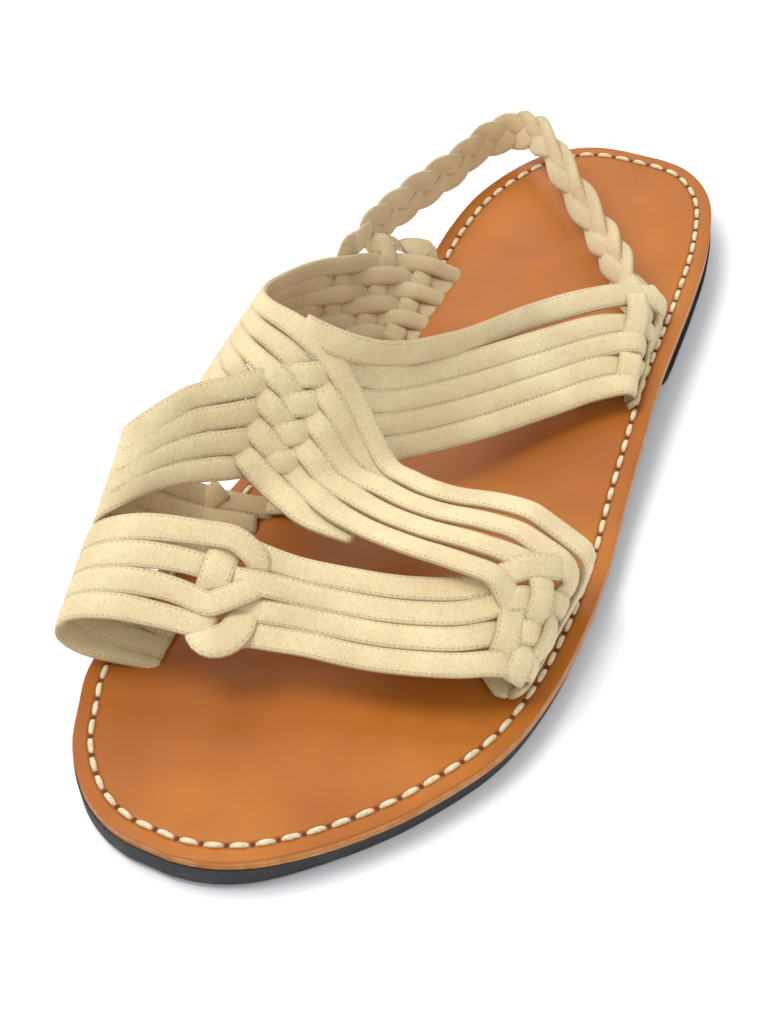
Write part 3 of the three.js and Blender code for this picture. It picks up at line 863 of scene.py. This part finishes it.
class SANDAL_OT_toe_band(SandalPieceOperator):
    """Lay the four toe straps and tie their knot"""
    bl_idname = "sandal.toe_band"
    bl_label = "Toe band and knot"

    def build(self, context):
        settings = context.scene.sandal_straps
        size = settings.weave_lift
        bm = bmesh.new()
        width = settings.width * 0.87

        def start_rows(strap):
            off_centre = (strap + 0.5) / TOE_COUNT - 0.5
            gathered = (
                (0.0, 0.45), (0.03, 0.52), (0.07, 0.68), (0.12, 0.9), (0.2, 1.0), (0.3, 1.0), (0.36, 1.0))
            layer = 0.7 if strap % 2 else -0.7
            return [(along, 0.5 + off_centre * part, layer * (1 - part) / 0.55) for along, part in gathered]

        def end_rows(strap):
            lane = (strap + 0.5) / TOE_COUNT
            rows = [(0.68, lane, 0), (0.74, lane, 0)]
            for k in range(27):
                along = 0.78 + 0.22 * k / 26
                lift = column_lift(along, TOE_COLUMNS, toe_is_over, strap, size, (0, 0, 0, 1))
                rows.append((along, lane, lift))
            return rows

        # Each strap comes from the inner side to the knot, and another leaves the knot for the outer side.
        runs = [
            start_rows(0) + [
                (0.43, 0.085, 0.6), (0.458, 0.09, 1.3), (0.478, 0.14, 1.3), (0.49, 0.24, 0.4),
                (0.494, 0.34, -1.4)],
            start_rows(1) + [(0.41, 0.37, 0), (0.45, 0.38, -0.9), (0.47, 0.40, -1.6)],
            start_rows(2) + [
                (0.41, 0.64, 0.2), (0.434, 0.655, 0.8), (0.456, 0.61, 2.0), (0.48, 0.49, 2.0),
                (0.498, 0.37, 0.2), (0.507, 0.3, -1.4)],
            start_rows(3) + [(0.41, 0.86, 0.0), (0.44, 0.82, 0.4), (0.464, 0.785, 0.6)],
            [(0.462, 0.12, -1.4), (0.49, 0.13, -0.9), (0.53, 0.13, 0), (0.6, 0.125, 0)] + end_rows(0),
            [(0.437, 0.42, -1.0), (0.458, 0.40, 0.6), (0.49, 0.375, 1.5), (0.53, 0.35, 0.8), (0.6, 0.36, 0)]
            + end_rows(1),
            [(0.465, 0.62, -1.2), (0.49, 0.605, -0.6), (0.52, 0.585, 0.2), (0.56, 0.575, 0), (0.62, 0.6, 0)]
            + end_rows(2),
            [(0.475, 0.87, -1.4), (0.50, 0.835, -0.8), (0.53, 0.81, 0), (0.58, 0.81, 0), (0.63, 0.85, 0)]
            + end_rows(3),
        ]
        # Two wider straps are tied round the others.
        ties = [
            [(0.445, 0.12, -1.8), (0.443, 0.22, -1.2), (0.441, 0.31, 1.6), (0.441, 0.42, 2.0),
             (0.44, 0.52, 0.4), (0.44, 0.6, -1.4)],
            [(0.487, 0.62, -1.2), (0.492, 0.71, 0.8), (0.491, 0.81, 1.6), (0.484, 0.89, 1.9),
             (0.470, 0.94, 1.7), (0.456, 0.94, 1.2), (0.445, 0.90, 0.2), (0.437, 0.83, -1.4)],
        ]
        loose_end = 3
        for i, rows in enumerate(runs + ties):
            path = sheet_path("toe", rows, max(len(rows) * 5, 30))
            wide = width * (TIE_WIDTH if i >= len(runs) else 1.0)
            sweep_tape(
                bm, path, lambda spot: wide * (1.08 - 0.08 * smooth_step(-36, -24, spot.x)), settings.thick,
                (False, i == loose_end), 1.3)
        finish_straps(bm, "toe_band_straps")


def band_strap_path(name, strap, start, end, lane_of, size):
    """A strap of a crossing band between two places along it, lifted over and under the other band."""
    band = BANDS[name]
    path = []
    count = int(260 * (end - start)) + 2
    for i in range(count + 1):
        along = start + (end - start) * i / count
        spot, normal = band.place(along, lane_of(along))
        spot = spot + normal * cross_lift(name, strap, spot, normal, size)
        path.append((spot, normal))
    return path


class SANDAL_OT_front_band(SandalPieceOperator):
    """Lay the front instep straps from the outer ball over the cross to the inner side"""
    bl_idname = "sandal.front_band"
    bl_label = "Front instep band"

    def build(self, context):
        settings = context.scene.sandal_straps
        size = settings.weave_lift
        bm = bmesh.new()
        # The straps that turn at the outer corner and weave through the toe straps there.
        turned = {
            0: [(0.93, -0.07, 0.8), (0.962, 0.06, 1.3), (0.974, 0.25, 1.2), (0.976, 0.5, 1.2),
                (0.974, 0.75, 1.2), (0.968, 0.95, 0.9), (0.96, 1.04, 0)],
            2: [(0.885, 0.06, 0.6), (0.915, 0.17, 1.4), (0.922, 0.375, -1.3), (0.922, 0.625, 1.3),
                (0.924, 0.875, -1.3), (0.92, 0.96, -1.5)],
            3: [(0.862, 0.14, -0.6), (0.876, 0.3, 0.9), (0.88, 0.4, 1.3), (0.882, 0.625, -1.2),
                (0.886, 0.86, 1.0), (0.884, 0.98, -1.2)],
            4: [(0.836, 0.40, 0.6), (0.842, 0.5, 0.2), (0.845, 0.66, 1.0), (0.848, 0.86, -1.4)],
        }
        # The straps that start under the others, with the place where each comes out.
        covered = {1: 0.3, 5: 0.36}
        for strap in range(FRONT_COUNT):
            lane_of = lambda along, s=strap: front_lane(s, along)
            path = band_strap_path("front", strap, covered.get(strap, 0.19), 0.845, lane_of, size)
            if strap in covered:
                shown = [smooth_step(0.0, 0.30, i / len(path)) for i in range(len(path))]
                path = [(p - n * (COVERED_DEPTH * (1 - part)), n) for (p, n), part in zip(path, shown)]
            if strap in turned:
                path = sheet_path("toe", turned[strap], 30)[::-1] + path[2:]
            rows = []
            lane = (strap + 0.5) / FRONT_COUNT
            for k in range(25):
                along = 0.85 + 0.15 * k / 24
                lift = 0.0
                for c, column in enumerate(INNER_COLUMNS):
                    lift += (1 if (strap + c) % 2 else -1) * size * bump((along - column) / COLUMN_REACH)
                rows.append((along, lane, lift))
            path += sheet_path("front", rows, 48)
            sweep_tape(bm, path, lambda spot: 5.1 + 1.2 * smooth_step(-36, -24, spot.x), settings.thick)
        finish_straps(bm, "front_instep_straps")


class SANDAL_OT_rear_band(SandalPieceOperator):
    """Lay the rear instep straps from the inner ball through the cross to the outer side"""
    bl_idname = "sandal.rear_band"
    bl_label = "Rear instep band"

    def build(self, context):
        settings = context.scene.sandal_straps
        size = settings.weave_lift
        bm = bmesh.new()
        for strap in range(REAR_COUNT):
            lane = (strap + 0.5) / REAR_COUNT
            path = band_strap_path("rear", strap, 0.0, 0.84, lambda along: lane, size)
            rows = []
            for k in range(25):
                along = 0.845 + 0.155 * k / 24
                lift = column_lift(along, REAR_COLUMNS, wall_is_over, strap, size, (0, 0))
                rows.append((along, lane, lift))
            path += sheet_path("rear", rows, 48)
            sweep_tape(bm, path, lambda spot: 5.9 + 0.4 * smooth_step(-40, -22, spot.x), settings.thick)
        finish_straps(bm, "rear_instep_straps")


class SANDAL_OT_top_strap(SandalPieceOperator):
    """Lay the single top strap from the ridge to the outer side"""
    bl_idname = "sandal.top_strap"
    bl_label = "Top strap"

    def build(self, context):
        settings = context.scene.sandal_straps
        bm = bmesh.new()
        rows = [
            (0.0, 0.5, 0), (0.08, 0.5, 0.2), (0.2, 0.5, 0), (0.5, 0.5, 0), (0.62, 0.5, 0.2),
            (0.72, 0.5, 1.3), (0.79, 0.5, 1.4), (0.85, 0.45, -0.4), (0.91, 0.4, -2.4)]
        sweep_tape(bm, sheet_path("top", rows, 90), settings.width, settings.thick)
        finish_straps(bm, "top_strap")


class SANDAL_OT_heel_sling(SandalPieceOperator):
    """Braid the heel sling and weave its ends into both side walls"""
    bl_idname = "sandal.heel_sling"
    bl_label = "Heel sling"

    def build(self, context):
        settings = context.scene.sandal_straps
        size = settings.weave_lift
        bm = bmesh.new()
        plaits = 5
        sling_ends = (0.95, 0.935, 0.91)
        rear_ends = (
            [(0.985, -0.2, 1.0), (0.975, 0.05, 1.2), (0.972, 0.25, 0.6), (0.972, 0.5, 1.2),
             (0.972, 0.75, 0.8), (0.968, 0.97, 0.9), (0.975, 1.06, -0.4)],
            [(0.9, -0.2, 0.2), (0.905, 0.0, 0.9), (0.905, 0.125, 1.3), (0.905, 0.375, -1.2),
             (0.905, 0.625, 1.2), (0.905, 0.86, -1.3)],
            [(0.95, -0.24, -0.6), (0.94, -0.06, -0.9), (0.938, 0.1, -1.4), (0.938, 0.3, -2.0)],
        )
        for s in range(SLING_COUNT):
            path = []
            for i in range(241):
                along = 0.05 + (sling_ends[s] - 0.05) * i / 240
                phase = 2 * math.pi * (along * plaits + s / SLING_COUNT)
                reach = 0.5 + 0.24 * math.sin(phase)
                path.append(BANDS["sling"].place(along, reach, 0.85 * math.sin(2 * phase)))
            lead = sheet_path("rear", rear_ends[s], 24)[::-1]
            column = INNER_COLUMNS[s]
            tail = [(column - 0.004, -0.12, 0.2), (column, -0.02, 0.8)]
            for k in range(FRONT_COUNT):
                sign = -1 if (k + s) % 2 else 1
                tail.append((column, (k + 0.5) / FRONT_COUNT, sign * size))
            tail.append((column, 1.04, -0.6))
            path = lead + path + sheet_path("front", tail, 44)
            sweep_tape(bm, path, settings.width * 0.94, settings.thick * 0.8, (False, False), 1.6)
        loop = [
            (0.92, -0.34, -0.8), (0.955, -0.3, 0.8), (0.98, -0.18, 1.4), (0.99, 0.0, 1.3), (0.985, 0.12, 0.2)]
        sweep_tape(bm, sheet_path("rear", loop, 30), settings.width * 0.8, settings.thick, (True, True))
        finish_straps(bm, "heel_sling_braid")


class SANDAL_OT_corner_straps(SandalPieceOperator):
    """Weave the inner ball corner and tuck the loose strap ends"""
    bl_idname = "sandal.corner_straps"
    bl_label = "Corner weave and tucked ends"

    def build(self, context):
        settings = context.scene.sandal_straps
        bm = bmesh.new()
        size = settings.weave_lift
        for c, column in enumerate((0.06, 0.13)):
            rows = [(column, 0.0, -1.2)]
            for k in range(REAR_COUNT):
                rows.append((column, (k + 0.5) / REAR_COUNT, size * (1 if (k + c) % 2 else -1) + 0.4))
            rows.append((column, 1.0, -1.4))
            sweep_tape(bm, sheet_path("rear", rows, 40), settings.width * 0.9, settings.thick)
        for x, y, turn, length in TUCKED_ENDS:
            path = []
            for k in range(9):
                reach = length * (k / 8 - 0.5)
                spot = Vector((x - ORIGIN_X + math.cos(turn) * reach, y + math.sin(turn) * reach, 0))
                spot.z = insole_top(spot.y) + 1.0 + 0.9 * (k / 8) ** 2
                path.append((spot, Vector((0.15, -0.1, 1)).normalized()))
            sweep_tape(bm, path, settings.width * 0.85, settings.thick * 0.8, (True, True))
        finish_straps(bm, "corner_straps")


# The camera backs away from the first spot, then aims at the sandal's middle, shifted to the right and up.
CAMERA_LOOK_AT = (-0.0635, 0.0295, 0)
CAMERA_CENTRE_Z = 0.016
CAMERA_SHIFT = (0.019, 0.0196)


class SANDAL_OT_stage(bpy.types.Operator):
    """Set up the floor, the soft lights and the camera"""
    bl_idname = "sandal.stage"
    bl_label = "Stage"
    bl_options = {"UNDO"}

    def execute(self, context):
        settings = context.scene.sandal_stage
        bm = bmesh.new()
        bmesh.ops.create_grid(bm, x_segments=2, y_segments=2, size=6)
        mesh = bpy.data.meshes.new("floor")
        bm.to_mesh(mesh)
        bm.free()
        floor = bpy.data.objects.new("floor", mesh)
        context.scene.collection.objects.link(floor)
        material, tree, shader, place = node_material("pale_floor")
        pale = noise_node(tree, place, 3, 2)
        tone = tuple(settings.floor_colour)
        tree.links.new(mix_node(tree, pale, tone, darker(tone, 0.985)), shader.inputs["Base Color"])
        shader.inputs["Roughness"].default_value = 0.6
        mesh.materials.append(material)
        self.add_light("key_light", (-0.55, -0.15, 1.25), 0.8, 12.6)
        self.add_light("fill_light", (0.9, -0.7, 0.8), 1.1, 2.9)
        self.add_light("rear_light", (-0.9, 1.25, 1.3), 1.1, 9.0)
        context.scene.view_settings.view_transform = "Standard"
        world = bpy.data.worlds.new("studio") if context.scene.world is None else context.scene.world
        context.scene.world = world
        world.use_nodes = True
        back = world.node_tree.nodes.get("Background")
        back.inputs["Color"].default_value = (0.95, 0.97, 1.0, 1)
        back.inputs["Strength"].default_value = 0.72
        self.add_camera(context, settings)
        return {"FINISHED"}

    def add_light(self, name, spot, size, power):
        data = bpy.data.lights.new(name, "AREA")
        data.shape = "DISK"
        data.size = size
        data.energy = power
        light = bpy.data.objects.new(name, data)
        bpy.context.scene.collection.objects.link(light)
        light.location = spot
        light.rotation_euler = (-Vector(spot)).to_track_quat("-Z", "Y").to_euler()

    def add_camera(self, context, settings):
        azimuth, elevation = settings.azimuth, settings.elevation
        level = math.cos(elevation)
        back = Vector((math.sin(azimuth) * level, -math.cos(azimuth) * level, math.sin(elevation)))
        view_spot = Vector(CAMERA_LOOK_AT) + back * settings.distance
        low, high = CAD_BOX
        centre = Vector(((low[0] + high[0]) / 2, (low[1] + high[1]) / 2, CAMERA_CENTRE_Z))
        away = (view_spot - centre).normalized()
        right = Vector((0, 0, 1)).cross(away).normalized()
        up = away.cross(right)
        away = (view_spot - centre + right * CAMERA_SHIFT[0] + up * CAMERA_SHIFT[1]).normalized()
        right = Vector((0, 0, 1)).cross(away).normalized()
        up = away.cross(right)
        c, s = math.cos(settings.roll), math.sin(settings.roll)
        right, up = right * c + up * s, up * c - right * s
        data = bpy.data.cameras.new("camera")
        data.sensor_fit = "VERTICAL"
        data.sensor_height = 36
        data.lens = settings.lens
        data.clip_start = 0.01
        camera = bpy.data.objects.new("camera", data)
        context.scene.collection.objects.link(camera)
        turn = Matrix((right, up, away)).transposed()
        camera.matrix_world = Matrix.Translation(view_spot) @ turn.to_4x4()
        context.scene.camera = camera


class SANDAL_PT_panel(bpy.types.Panel):
    """Sidebar panel that lists the sandal's pieces"""
    bl_label = "Huarache Sandal"
    bl_idname = "SANDAL_PT_panel"
    bl_space_type = "VIEW_3D"
    bl_region_type = "UI"
    bl_category = "Sandal"

    def draw(self, context):
        for settings in (context.scene.sandal_straps, context.scene.sandal_sole, context.scene.sandal_stage):
            box = self.layout.box()
            for name in settings.__annotations__:
                box.prop(settings, name)
        for operator in PIECE_OPERATORS:
            self.layout.operator(operator.bl_idname)


PIECE_OPERATORS = (
    SANDAL_OT_outsole, SANDAL_OT_heel_lift, SANDAL_OT_insole, SANDAL_OT_stitches, SANDAL_OT_toe_band,
    SANDAL_OT_front_band, SANDAL_OT_rear_band, SANDAL_OT_top_strap, SANDAL_OT_heel_sling,
    SANDAL_OT_corner_straps, SANDAL_OT_stage,
)
CLASSES = (SandalStraps, SandalSole, SandalStage) + PIECE_OPERATORS + (SANDAL_PT_panel,)


def register():
    for cls in CLASSES:
        bpy.utils.register_class(cls)
    bpy.types.Scene.sandal_straps = bpy.props.PointerProperty(type=SandalStraps)
    bpy.types.Scene.sandal_sole = bpy.props.PointerProperty(type=SandalSole)
    bpy.types.Scene.sandal_stage = bpy.props.PointerProperty(type=SandalStage)


def unregister():
    del bpy.types.Scene.sandal_stage
    del bpy.types.Scene.sandal_sole
    del bpy.types.Scene.sandal_straps
    for cls in reversed(CLASSES):
        bpy.utils.unregister_class(cls)


def main():
    register()
    bpy.ops.sandal.stage()
    bpy.ops.sandal.outsole()
    bpy.ops.sandal.heel_lift()
    bpy.ops.sandal.insole()
    bpy.ops.sandal.stitches()
    bpy.ops.sandal.toe_band()
    bpy.ops.sandal.front_band()
    bpy.ops.sandal.rear_band()
    bpy.ops.sandal.top_strap()
    bpy.ops.sandal.heel_sling()
    bpy.ops.sandal.corner_straps()


if __name__ == "__main__":
    main()
